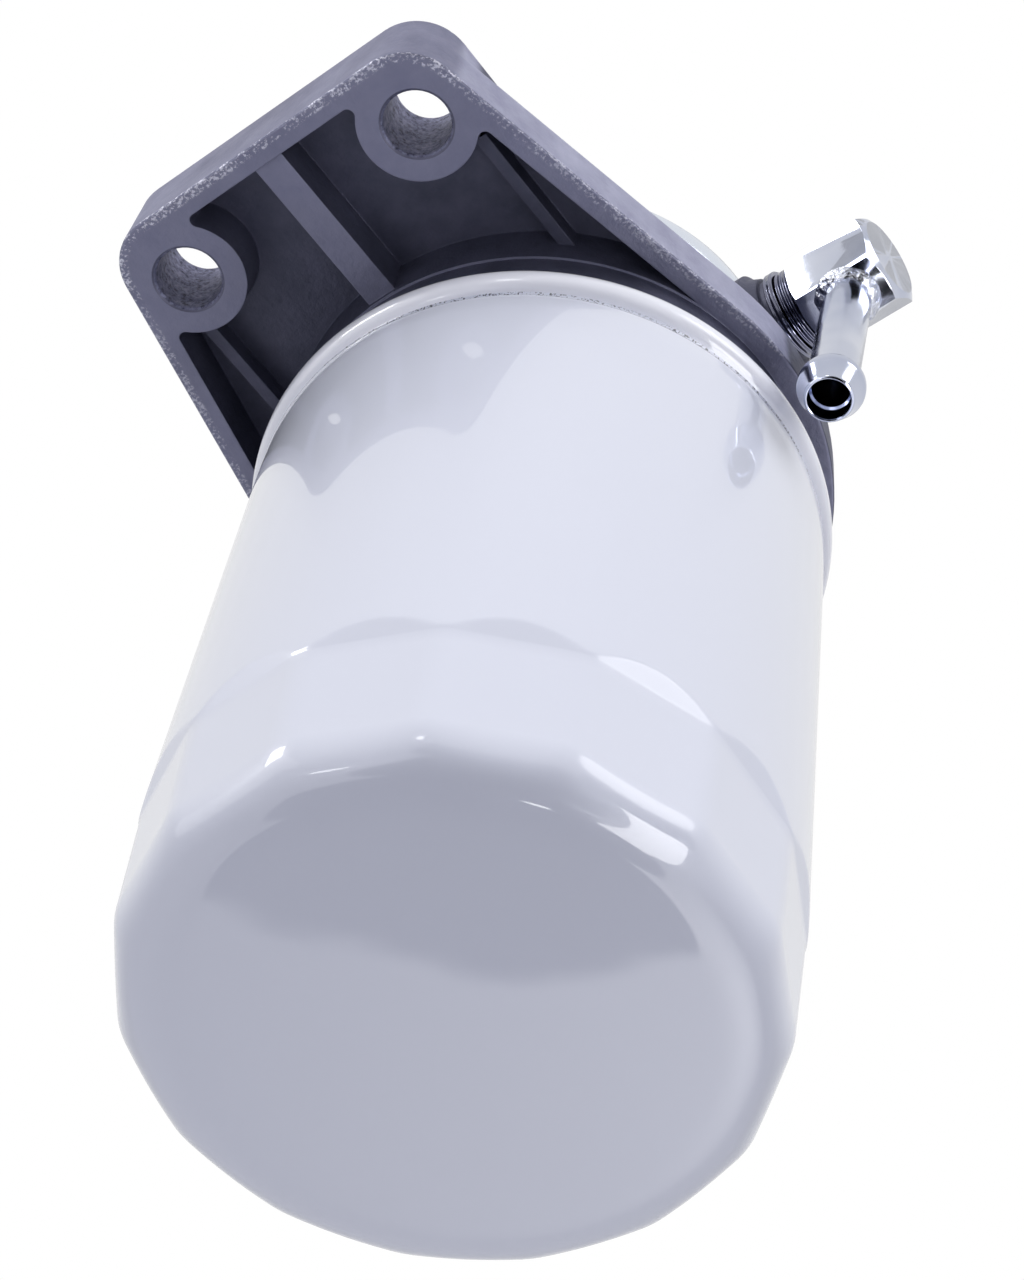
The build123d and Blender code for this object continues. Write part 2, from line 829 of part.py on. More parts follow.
def bleed_screw():
    seat = shelf_z + bleed_boss_high + bleed_washer_thick
    head = hexagon(bleed_flats, seat, seat + bleed_head_high)
    crown = bleed_flats / math.sqrt(3)
    head &= turned(
        (0, seat),
        (crown, seat),
        (crown, seat + bleed_head_high - 0.8),
        (bleed_flats / 2, seat + bleed_head_high),
        (0, seat + bleed_head_high),
    )
    tip = seat - bleed_washer_thick - bleed_deep
    root = seat + 0.5
    shank = turned((0, tip), (bleed_r - 1.4, tip), (bleed_r, tip + 1.6), (bleed_r, root), (0, root))
    return at(0, bleed_out, head + shank)


well_z = drum_up - valve_well
lift_gap = valve_well - valve_seat_thick - valve_disc_thick
pieces = {
    "filter_head": filter_head(),
    "threaded_stud": threaded_stud(),
    "canister_shell": canister_shell(),
    "gasket_retainer": gasket_retainer(),
    "tapping_plate": tapping_plate(),
    "sealing_gasket": sealing_gasket(),
    "pleated_element": pleated_element(),
    "centre_tube": centre_tube(),
    "upper_end_cap": upper_end_cap(),
    "lower_end_cap": lower_end_cap(),
    "element_grommet": element_grommet(),
    "element_spring": element_spring(),
    "inlet_elbow": elbow(),
    "inlet_hose_pipe": hose_pipe(),
    "inlet_washer": port_washer(),
    "outlet_elbow": other_side(elbow()),
    "outlet_hose_pipe": other_side(hose_pipe()),
    "outlet_washer": other_side(port_washer()),
    "pump_base": pump_base(),
    "pump_base_screws": pump_base_screws(),
    "pump_diaphragm": pump_diaphragm(),
    "upper_diaphragm_plate": diaphragm_plate(plates_z + rubber),
    "lower_diaphragm_plate": diaphragm_plate(plates_z - sheet),
    "pump_cover": pump_cover(),
    "plunger_rod": plunger_rod(),
    "pump_knob": pump_knob(),
    "return_spring": return_spring(),
    "suction_valve_seat": at(valve_out, port_back, valve_seat(well_z)),
    "suction_valve_disc": at(valve_out, port_back, valve_disc(well_z + valve_seat_thick)),
    "suction_valve_spring": at(valve_out, port_back, valve_spring(drum_up - lift_gap, drum_up)),
    "delivery_valve_seat": at(0, -valve_out, valve_seat(drum_up - valve_seat_thick)),
    "delivery_valve_disc": at(0, -valve_out, valve_disc(drum_up - valve_seat_thick - valve_disc_thick)),
    "delivery_valve_spring": at(0, -valve_out, valve_spring(well_z, well_z + lift_gap)),
    "bleed_washer": bleed_washer(),
    "bleed_screw": bleed_screw(),
}

os.makedirs("parts", exist_ok=True)
to_bracket = Pos(0, hole_reach, -pad_z)
for name, solid in pieces.items():
    export_step(to_bracket * solid, f"parts/{name}.step")
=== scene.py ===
import json
import math

import bmesh
import bpy
from mathutils import Matrix, Vector


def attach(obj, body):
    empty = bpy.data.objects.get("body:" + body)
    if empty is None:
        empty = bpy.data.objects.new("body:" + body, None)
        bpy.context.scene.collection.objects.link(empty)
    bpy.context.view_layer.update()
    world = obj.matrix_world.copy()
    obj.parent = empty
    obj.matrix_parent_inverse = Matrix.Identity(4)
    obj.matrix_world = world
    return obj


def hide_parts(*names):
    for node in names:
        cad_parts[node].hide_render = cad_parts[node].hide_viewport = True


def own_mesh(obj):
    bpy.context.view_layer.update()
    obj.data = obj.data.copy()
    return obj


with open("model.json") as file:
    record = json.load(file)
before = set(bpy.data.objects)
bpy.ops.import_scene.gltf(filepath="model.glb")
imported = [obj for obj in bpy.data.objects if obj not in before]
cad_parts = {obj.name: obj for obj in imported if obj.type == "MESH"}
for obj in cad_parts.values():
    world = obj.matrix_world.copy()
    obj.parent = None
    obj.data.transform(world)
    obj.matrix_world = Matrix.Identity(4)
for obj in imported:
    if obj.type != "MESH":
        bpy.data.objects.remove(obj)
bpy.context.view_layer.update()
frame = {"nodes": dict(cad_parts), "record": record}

# The filter hangs with its axis on +Z. Sizes are written in millimetres
# from the filter's axis and the widest line of the can's rolled rim, and
# AXIS takes them to the frame of the model, whose origin is between the two
# flange holes.
MM = 0.001
HOLE_REACH = 55.9
PAD_HEIGHT = 22.4
AXIS = Vector((0.0, HOLE_REACH, -PAD_HEIGHT)) * MM

# Canister, its fifteen flats and its round end
CAN_R = 40.0
FLATS = 15
FLAT_PHASE = -79.8
FLAT_END = -98.5
FLAT_TOP = -83.2
SCALLOP = 2.9
FLAT_IN = 0.7
CREASE_ROUND = 8.0
END_ROUND = 6.5
END_DISH = 0.1
EASE_FROM = 30.0
EASE_TO = 35.5
RIM_R = 41.0
STEPS = 300

# Line of sealant under the rolled rim
SEAM_LOW = -4.5
SEAM_HIGH = -3.3

# Flange of the head
BODY_R = 41.1
END_EDGE = 10.4
LOWER_FACE = 10.0 - PAD_HEIGHT
SIDE_ANGLE = math.radians(12.60)
CORNER_R = 8.2
HOLE_X = 20.5
HOLE_R = 4.67

# Ports, hexagon bars and hose pipes
PORT_UP = 32.6
PORT_BACK = 5.2
PORT_FACE = 37.6
PIPE_OUT = 10.8
PIPE_TILT = math.radians(5.8)
HEX_FLATS = 13.0
BAR_START = 3.8
BAR_END = 17.3
BAR_END_R = 5.8
PIPE_R = 3.5
PIPE_BORE_R = 2.6
PIPE_REACH = 41.0

# Hand pump
PUMP_R = 31.4
PUMP_LOW = 39.4
PUMP_CLAMP = 43.3
DOME_TOP = 56.1
KNOB_LOW = 65.1
KNOB_HIGH = 72.6
KNOB_R = 13.0
KNOB_COLUMNS = 144
GRIP_DEPTH = 0.45

# Bleed screw
BLEED_OUT = 35.0
BLEED_UP = 24.2
BLEED_FLATS = 10.0
BLEED_HEAD = 4.5

# Edges up to these angles shade smoothly
TURNED_SMOOTH = math.radians(35)
SOLID_SMOOTH = math.radians(30)
HEXAGON_SMOOTH = math.radians(25)
SPRING_SMOOTH = math.radians(40)


def at(x, y, z):
    """A point given from the filter's axis in millimetres, in the model's frame."""
    return AXIS + Vector((x, y, z)) * MM


def linear(code):
    """An sRGB hex colour as linear RGBA."""
    values = [int(code[i:i + 2], 16) / 255 for i in (1, 3, 5)]
    return [v / 12.92 if v <= 0.04045 else ((v + 0.055) / 1.055) ** 2.4 for v in values] + [1.0]


WHITE = linear("#FFFFFF")


# Making a material: one function adds a node with its settings and links
def new_material(name):
    material = bpy.data.materials.new(name)
    material.use_nodes = True
    material.node_tree.nodes.clear()
    return material


def add(tree, kind, settings=None, **inputs):
    """Adds a node. settings are its own properties, inputs are sockets by name or number."""
    node = tree.nodes.new("ShaderNode" + kind)
    for key, value in (settings or {}).items():
        setattr(node, key, value)
    for key, value in inputs.items():
        socket = node.inputs[int(key[1:])] if key[0] == "_" else node.inputs[key.replace("_", " ")]
        if isinstance(value, bpy.types.NodeSocket):
            tree.links.new(value, socket)
        else:
            socket.default_value = value
    return node


def ramp(tree, value, *stops):
    """A colour ramp with (position, hex colour) stops."""
    node = add(tree, "ValToRGB", Fac=value)
    band = node.color_ramp
    while len(band.elements) < len(stops):
        band.elements.new(0.5)
    for element, (place, colour) in zip(band.elements, stops):
        element.position = place
        element.color = linear(colour)
    return node.outputs["Color"]


def finish_material(tree, shader, normal=None):
    if normal is not None:
        tree.links.new(normal, shader.inputs["Normal"])
    add(tree, "OutputMaterial", Surface=shader.outputs[0])


def mask(tree, value, low, high):
    """1 where the value is past high, 0 where it is short of low, smooth in between."""
    return add(
        tree, "MapRange", {"interpolation_type": "SMOOTHSTEP"}, Value=value, From_Min=low, From_Max=high,
    ).outputs[0]


def times(tree, *values):
    """All values multiplied together."""
    result = values[0]
    for value in values[1:]:
        result = add(tree, "Math", {"operation": "MULTIPLY"}, _0=result, _1=value).outputs[0]
    return result


def times_plus(tree, value, factor, more):
    """The value times a factor, plus more."""
    return add(tree, "Math", {"operation": "MULTIPLY_ADD"}, _0=value, _1=factor, _2=more).outputs[0]


def distance(tree, spot, place):
    """How far a position is from a fixed place."""
    return add(tree, "VectorMath", {"operation": "DISTANCE"}, _0=spot, _1=place).outputs["Value"]


def highest(tree, values):
    """The greatest of the values."""
    result = values[0]
    for value in values[1:]:
        result = add(tree, "Math", {"operation": "MAXIMUM"}, _0=result, _1=value).outputs[0]
    return result


def mixed(tree, factor, first, second):
    """Mixes two colours, each a socket or a hex value."""
    inputs = [linear(c) if isinstance(c, str) else c for c in (first, second)]
    return add(tree, "Mix", {"data_type": "RGBA"}, _0=factor, _6=inputs[0], _7=inputs[1]).outputs[2]


def white_enamel():
    """Baked gloss enamel on steel: even, faintly blue white under a mirror-smooth clear gloss."""
    material = new_material("white_enamel")
    tree = material.node_tree
    place = add(tree, "TexCoord").outputs["Object"]
    # Drawing marks of the can bend the reflections a little, over some 30 mm and 8 mm
    wave = add(tree, "TexNoise", Vector=place, Scale=34.0, Detail=1.0)
    ripple = add(tree, "TexNoise", Vector=place, Scale=120.0, Detail=1.0)
    slow = add(tree, "Bump", Strength=0.12, Distance=0.0010, Height=wave.outputs["Fac"])
    quick = add(
        tree, "Bump", Strength=0.03, Distance=0.0004, Height=ripple.outputs["Fac"], Normal=slow.outputs[0],
    )
    # Sealant squeezed out under the rolled rim shows as dark specks along one line
    spot = add(tree, "SeparateXYZ", Vector=place)
    low = mask(tree, spot.outputs["Z"], (SEAM_LOW - 0.3) * MM + AXIS.z, SEAM_LOW * MM + AXIS.z)
    high = mask(tree, spot.outputs["Z"], (SEAM_HIGH + 0.3) * MM + AXIS.z, SEAM_HIGH * MM + AXIS.z)
    grit = add(tree, "TexNoise", Vector=place, Scale=3200.0, Detail=3.0)
    patch = add(tree, "TexNoise", Vector=place, Scale=45.0, Detail=1.0)
    dense = mask(tree, patch.outputs["Fac"], 0.33, 0.45)
    specks = times(tree, low, high, mask(tree, grit.outputs["Fac"], 0.54, 0.59), dense)
    line = times(tree, low, high, 0.35)
    # The rolled rim is painted whiter: a painted highlight for the light it catches
    painted_rim_light = mask(tree, spot.outputs["Z"], SEAM_HIGH * MM + AXIS.z, (SEAM_HIGH + 0.6) * MM + AXIS.z)
    tone = mixed(tree, painted_rim_light, "#E2E5F1", "#F7F8FF")
    tone = mixed(tree, line, tone, "#9FA3B8")
    colour = mixed(tree, specks, tone, "#3C3D48")
    shader = add(
        tree, "BsdfPrincipled", Base_Color=colour, Roughness=0.32,
        Coat_Weight=1.0, Coat_Roughness=0.01, Coat_IOR=1.47,
    )
    tree.links.new(quick.outputs[0], shader.inputs["Coat Normal"])
    finish_material(tree, shader)
    return material


def outer_walls(tree, spot, across, flat):
    """Masks of the head's outer walls and of its front part.

    The walls lie outside the flange's side lines, its front line and its corners. They are
    found from 1.6 mm inside these, fully from 1.1 mm inside.
    """
    inner, outer = 1.6, 1.1
    side = times(tree, across, math.cos(SIDE_ANGLE))
    side = times_plus(tree, spot.outputs["Y"], -math.sin(SIDE_ANGLE), side)
    side_line = (BODY_R - HOLE_REACH * math.sin(SIDE_ANGLE)) * MM
    corner_y = CORNER_R - END_EDGE
    corner_x = (BODY_R - CORNER_R + (corner_y - HOLE_REACH) * math.sin(SIDE_ANGLE)) / math.cos(SIDE_ANGLE)
    from_corner = distance(tree, flat, Vector((corner_x, corner_y, 0)) * MM)
    corner = times(
        tree, mask(tree, from_corner, (CORNER_R - inner) * MM, (CORNER_R - outer) * MM),
        mask(tree, across, corner_x * MM, (corner_x + 0.3) * MM),
        mask(tree, spot.outputs["Y"], corner_y * MM, (corner_y - 0.3) * MM),
    )
    walls = highest(tree, [
        mask(tree, side, side_line - inner * MM, side_line - outer * MM),
        mask(tree, spot.outputs["Y"], (inner - END_EDGE) * MM, (outer - END_EDGE) * MM),
        corner,
    ])
    return walls, mask(tree, spot.outputs["Y"], (corner_y + 1.0) * MM, (corner_y - 1.0) * MM)


def rubbed_edge(tree, place, spot, front):
    """Handling has rubbed the lower edge bright in a fine broken line, most at the front."""
    edge = mask(tree, spot.outputs["Z"], (LOWER_FACE + 1.0) * MM, (LOWER_FACE + 0.1) * MM)
    along = add(tree, "Mapping", Vector=place, Scale=(1.0, 1.0, 2.2))
    scratch = add(tree, "TexNoise", Vector=along.outputs[0], Scale=1900.0, Detail=6.0, Roughness=0.7)
    sparse = add(tree, "TexNoise", Vector=place, Scale=150.0, Detail=2.0)
    patchy = add(tree, "MapRange", Value=sparse.outputs["Fac"], To_Min=0.16, To_Max=-0.10)
    limit = add(tree, "MapRange", Value=edge, To_Min=0.74, To_Max=0.47)
    limit = add(tree, "Math", {"operation": "ADD"}, _0=limit.outputs[0], _1=patchy.outputs[0]).outputs[0]
    over = add(tree, "Math", {"operation": "SUBTRACT"}, _0=scratch.outputs["Fac"], _1=limit).outputs[0]
    share = add(tree, "MapRange", Value=front, To_Min=0.6, To_Max=1.0).outputs[0]
    return times(tree, mask(tree, over, 0.0, 0.1), mask(tree, edge, 0.02, 0.3), share)


def cast_aluminium():
    """Die-cast aluminium: dull dark grey, with painted light on its outer walls and lowest downward faces,
    edges rubbed bare.
    """
    material = new_material("cast_aluminium")
    tree = material.node_tree
    place = add(tree, "TexCoord").outputs["Object"]
    facing = add(tree, "NewGeometry").outputs["Normal"]
    rounded = add(tree, "Bevel", {"samples": 4}, Radius=0.25 * MM)
    spot = add(tree, "SeparateXYZ", Vector=place)
    turn = add(tree, "SeparateXYZ", Vector=facing)
    # Both halves of the flange are alike, so masks are made for one of them
    across = add(tree, "Math", {"operation": "ABSOLUTE"}, _0=spot.outputs["X"]).outputs[0]
    flat = add(tree, "CombineXYZ", X=across, Y=spot.outputs["Y"]).outputs[0]
    outside, front = outer_walls(tree, spot, across, flat)
    from_hole = distance(tree, flat, Vector((HOLE_X, 0, 0)) * MM)
    hole = mask(tree, from_hole, (HOLE_R + 0.35) * MM, (HOLE_R + 0.15) * MM)
    level = add(tree, "Math", {"operation": "ABSOLUTE"}, _0=turn.outputs["Z"]).outputs[0]
    wall = times(tree, outside, mask(tree, level, 0.75, 0.45))
    mottle = add(tree, "TexNoise", Vector=place, Scale=160.0, Detail=6.0, Roughness=0.6)
    stain = add(tree, "TexNoise", Vector=place, Scale=38.0, Detail=3.0)
    # Painted light: faces that look down at the lowest level are painted lighter, a painted reflection of
    # the bright floor below
    underside_light_mask = times(
        tree, mask(tree, turn.outputs["Z"], -0.6, -0.85),
        mask(tree, spot.outputs["Z"], (LOWER_FACE + 3.5) * MM, (LOWER_FACE + 1.5) * MM),
    )
    skin = ramp(tree, mottle.outputs["Fac"], (0.3, "#484A5C"), (0.7, "#5B5C70"))
    underside_light_tone = ramp(tree, mottle.outputs["Fac"], (0.25, "#7B7C94"), (0.75, "#8D8EA4"))
    skin = mixed(tree, underside_light_mask, skin, underside_light_tone)
    # Painted light: the outer walls are painted lighter where light falls on them, and the side walls
    # lighter than the front
    lit_wall_tone = ramp(tree, mottle.outputs["Fac"], (0.25, "#696A82"), (0.75, "#8B8CA3"))
    lit_side_wall_tone = ramp(tree, mottle.outputs["Fac"], (0.25, "#8E8FA8"), (0.75, "#B0B1C6"))
    lit_wall_tone = mixed(tree, front, lit_side_wall_tone, lit_wall_tone)
    tone = mixed(tree, wall, skin, lit_wall_tone)
    tone = mixed(tree, times(tree, mask(tree, stain.outputs["Fac"], 0.5, 0.75), 0.22), tone, "#45454F")
    # The walls of the holes keep dark pits of about 0.8 mm
    pits = add(tree, "TexNoise", Vector=place, Scale=1300.0, Detail=5.0, Roughness=0.7)
    bored = ramp(tree, pits.outputs["Fac"], (0.34, "#303144"), (0.46, "#666780"), (0.66, "#8E8FA8"))
    tone = mixed(tree, hole, tone, bored)
    worn = times(tree, rubbed_edge(tree, place, spot, front), outside)
    colour = mixed(tree, times(tree, worn, 0.9), tone, "#DCDCE8")
    shine = add(tree, "MapRange", Value=worn, To_Min=0.56, To_Max=0.36)
    # Sand-like grain of about 0.7 mm, and dents of about 2.4 mm that are deepest inside the holes
    grain = add(tree, "TexNoise", Vector=place, Scale=1500.0, Detail=4.0)
    dents = add(tree, "TexNoise", Vector=place, Scale=420.0, Detail=4.0, Roughness=0.65)
    fine = add(
        tree, "Bump", Strength=0.3, Distance=0.0002, Height=grain.outputs["Fac"], Normal=rounded.outputs[0],
    )
    deep = add(tree, "MapRange", Value=hole, To_Min=0.35, To_Max=1.0).outputs[0]
    rough = add(
        tree, "Bump", Strength=deep, Distance=0.0005, Height=dents.outputs["Fac"], Normal=fine.outputs[0],
    )
    shader = add(tree, "BsdfPrincipled", Base_Color=colour, Metallic=0.4, Roughness=shine.outputs[0])
    finish_material(tree, shader, rough.outputs[0])
    return material


def bright_zinc():
    """Bright zinc plate on turned steel: mirror-like, faintly blue, with fine cloudy dulling."""
    material = new_material("bright_zinc")
    tree = material.node_tree
    place = add(tree, "TexCoord").outputs["Object"]
    cloud = add(tree, "TexNoise", Vector=place, Scale=260.0, Detail=4.0)
    smear = add(tree, "TexNoise", Vector=place, Scale=90.0, Detail=2.0)
    tone = ramp(tree, smear.outputs["Fac"], (0.35, "#BCC2D6"), (0.7, "#D3D7E5"))
    rough = add(tree, "MapRange", Value=cloud.outputs["Fac"], To_Min=0.06, To_Max=0.2)
    bump = add(tree, "Bump", Strength=0.12, Distance=0.0003, Height=cloud.outputs["Fac"])
    # The washer and the collar behind the hexagon keep turning grooves, drawn 0.8 mm apart to show
    spot = add(tree, "SeparateXYZ", Vector=place)
    across = add(tree, "Math", {"operation": "ABSOLUTE"}, _0=spot.outputs["X"]).outputs[0]
    turned_zone = times(
        tree, mask(tree, across, (PORT_FACE - 0.2) * MM, (PORT_FACE + 0.1) * MM),
        mask(tree, across, (PORT_FACE + BAR_START + 0.1) * MM, (PORT_FACE + BAR_START - 0.1) * MM),
    )
    phase = times(tree, across, 2 * math.pi / (0.8 * MM))
    groove = add(tree, "Math", {"operation": "SINE"}, _0=phase).outputs[0]
    height = times(tree, groove, turned_zone)
    grooved = add(tree, "Bump", Strength=1.0, Distance=0.0002, Height=height, Normal=bump.outputs[0])
    # The washer and the collar are painted darker: a painted shade for the gap between the head's port and
    # the hexagon
    tone = mixed(tree, turned_zone, tone, "#85879A")
    # The pump's cover is a bluer plate than the elbows
    pump_z = PUMP_LOW - PAD_HEIGHT
    pump = mask(tree, spot.outputs["Z"], (pump_z - 1.5) * MM, (pump_z - 0.5) * MM)
    tone = mixed(tree, pump, tone, "#E6ECF7")
    shader = add(tree, "BsdfPrincipled", Base_Color=tone, Metallic=1.0, Roughness=rough.outputs[0])
    finish_material(tree, shader, grooved.outputs[0])
    return material


def brazed_zinc():
    """Zinc over a brazed joint: bright but lumpy, so it glitters."""
    material = new_material("brazed_zinc")
    tree = material.node_tree
    place = add(tree, "TexCoord").outputs["Object"]
    lumps = add(tree, "TexNoise", Vector=place, Scale=900.0, Detail=3.0)
    tone = ramp(tree, lumps.outputs["Fac"], (0.3, "#A9AFC4"), (0.65, "#E2E4EC"))
    bump = add(tree, "Bump", Strength=0.9, Distance=0.0006, Height=lumps.outputs["Fac"])
    shader = add(tree, "BsdfPrincipled", Base_Color=tone, Metallic=1.0, Roughness=0.18)
    finish_material(tree, shader, bump.outputs[0])
    return material


def plain_finish(name, light, dark, scale, roughness, metallic=0.0, strength=0.1):
    """A finish with two close tones and a fine bump, for small and hidden pieces."""
    material = new_material(name)
    tree = material.node_tree
    place = add(tree, "TexCoord").outputs["Object"]
    noise = add(tree, "TexNoise", Vector=place, Scale=scale, Detail=4.0)
    tone = ramp(tree, noise.outputs["Fac"], (0.3, dark), (0.7, light))
    bump = add(tree, "Bump", Strength=strength, Distance=0.0003, Height=noise.outputs["Fac"])
    shader = add(tree, "BsdfPrincipled", Base_Color=tone, Metallic=metallic, Roughness=roughness)
    finish_material(tree, shader, bump.outputs[0])
    return material


FINISHES = {
    "white_enamel": white_enamel(),
    "cast_aluminium": cast_aluminium(),
    "bright_zinc": bright_zinc(),
    "plain_steel": plain_finish("plain_steel", "#A8A8AA", "#909094", 400.0, 0.35, metallic=1.0),
    "spring_steel": plain_finish("spring_steel", "#A2A3A8", "#8A8B90", 700.0, 0.28, metallic=1.0),
    "black_rubber": plain_finish("black_rubber", "#26262A", "#1C1C20", 500.0, 0.6),
    "filter_paper": plain_finish("filter_paper", "#D6BE85", "#C8AE72", 700.0, 0.85, strength=0.3),
    "copper": plain_finish("copper", "#C98A62", "#B07450", 500.0, 0.3, metallic=1.0),
    "brass": plain_finish("brass", "#CDB26A", "#B99C54", 500.0, 0.3, metallic=1.0),
    "black_plastic": plain_finish("black_plastic", "#242428", "#1A1A1E", 900.0, 0.42, strength=0.15),
}
BRAZED = brazed_zinc()

for part in frame["record"]["subparts"]:
    cad_node = frame["nodes"][part["node"]]
    cad_node.data.materials.clear()
    cad_node.data.materials.append(FINISHES[part["material_slot"]])


# Modelling by hand: rings are extruded, moved and scaled one after another
def deselect():
    if bpy.context.object and bpy.context.object.mode != "OBJECT":
        bpy.ops.object.mode_set(mode="OBJECT")
    bpy.ops.object.select_all(action="DESELECT")


def turned(name, rings, steps, spot=(0, 0), close_low=False, close_high=False):
    """Turns a piece about an upright axis from (radius, height) rings in millimetres.

    A last ring equal to the first closes the form into a ring.
    """
    deselect()
    radius, height = rings[0]
    bpy.ops.mesh.primitive_circle_add(
        vertices=steps, radius=radius * MM, fill_type="NOTHING", location=at(*spot, height),
    )
    piece = bpy.context.object
    piece.name = name
    bpy.ops.object.transform_apply(location=True, rotation=True, scale=True)
    bpy.ops.object.mode_set(mode="EDIT")
    bpy.ops.mesh.select_all(action="SELECT")
    if close_low:
        bpy.ops.mesh.extrude_region_move()
        bpy.ops.mesh.merge(type="CENTER")
        # The merged middle is left out of what the next ring is extruded from
        mesh = bmesh.from_edit_mesh(piece.data)
        middle = at(*spot, height)
        for vert in mesh.verts:
            vert.select_set((vert.co - middle).length > 0.5 * radius * MM)
        mesh.select_flush_mode()
        bmesh.update_edit_mesh(piece.data)
    for (old_r, old_z), (new_r, new_z) in zip(rings, rings[1:]):
        bpy.ops.mesh.extrude_region_move(TRANSFORM_OT_translate={"value": (0, 0, (new_z - old_z) * MM)})
        ratio = new_r / old_r
        bpy.ops.transform.resize(value=(ratio, ratio, 1), center_override=at(*spot, new_z))
    if close_high:
        bpy.ops.mesh.extrude_region_move()
        bpy.ops.mesh.merge(type="CENTER")
    bpy.ops.mesh.select_all(action="SELECT")
    if rings[-1] == rings[0]:
        bpy.ops.mesh.remove_doubles(threshold=0.000001)
    bpy.ops.mesh.normals_make_consistent(inside=False)
    bpy.ops.object.mode_set(mode="OBJECT")
    bpy.ops.object.shade_smooth_by_angle(angle=TURNED_SMOOTH)
    return piece


def pick(piece):
    deselect()
    piece.select_set(True)
    bpy.context.view_layer.objects.active = piece


def lay(piece, place):
    """Moves a piece that was modelled round the filter's axis to another place there."""
    pick(piece)
    piece.matrix_world = Matrix.Translation(AXIS) @ place @ Matrix.Translation(-AXIS)
    bpy.ops.object.transform_apply(location=True, rotation=True, scale=True)


def cut(piece, tool, operation):
    """Joins, cuts or trims a piece with a tool piece, which is used up."""
    pick(piece)
    change = piece.modifiers.new("cut", "BOOLEAN")
    change.operation = operation
    change.solver = "EXACT"
    change.object = tool
    bpy.ops.object.modifier_apply(modifier="cut")
    bpy.data.objects.remove(tool)


def soften(piece, width):
    """Takes the sharp edges off with a narrow round bevel."""
    pick(piece)
    bevel = piece.modifiers.new("soften", "BEVEL")
    bevel.width = width * MM
    bevel.segments = 2
    bevel.limit_method = "ANGLE"
    bevel.angle_limit = math.radians(30)
    bpy.ops.object.modifier_apply(modifier="soften")
    bpy.ops.object.shade_smooth_by_angle(angle=TURNED_SMOOTH)


def other_side(piece, name):
    """A copy mirrored to the outlet's side."""
    pick(piece)
    bpy.ops.object.duplicate()
    copy = bpy.context.object
    copy.name = name
    copy.scale.x = -1
    bpy.ops.object.transform_apply(location=True, rotation=True, scale=True)
    bpy.ops.object.mode_set(mode="EDIT")
    bpy.ops.mesh.select_all(action="SELECT")
    bpy.ops.mesh.normals_make_consistent(inside=False)
    bpy.ops.object.mode_set(mode="OBJECT")
    return copy


def move_out(vert, spot, ratio):
    """Moves a vertex out from the filter's axis or in towards it by a ratio."""
    vert.co.x = AXIS.x + spot.x * ratio * MM
    vert.co.y = AXIS.y + spot.y * ratio * MM


def arc(centre_r, centre_z, radius, start, end, count):
    """Points of a round corner, by angle in degrees from outwards towards up."""
    points = []
    for i in range(count + 1):
        angle = math.radians(start + (end - start) * i / count)
        points.append((centre_r + radius * math.cos(angle), centre_z + radius * math.sin(angle)))
    return points


def dress(piece, body, finish, *nodes):
    piece.data.materials.clear()
    piece.data.materials.append(FINISHES[finish])
    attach(piece, body)
    if nodes:
        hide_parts(*nodes)


# Canister: a drawn can with a rolled rim, pressed to fifteen flats above its slightly dished end
def flat_limit(height, turn):
    """How far out a flat lets the can's wall reach, by height and by angle from the flat's middle."""
    apex = math.cos(math.pi / FLATS)
    top = CAN_R * apex
    slope = FLAT_IN * apex / (FLAT_TOP - FLAT_END)
    if height > FLAT_TOP:
        reach = top + (CAN_R - top) * (height - FLAT_TOP) / SCALLOP
    else:
        reach = top - slope * (FLAT_TOP - height)
    half = math.pi / FLATS
    middle = (reach - CREASE_ROUND) / math.cos(half)
    away = half - abs(turn)
    if abs(turn) < math.atan((reach - CREASE_ROUND) * math.tan(half) / reach):
        return reach / math.cos(turn)
    return middle * math.cos(away) + math.sqrt(CREASE_ROUND ** 2 - (middle * math.sin(away)) ** 2)


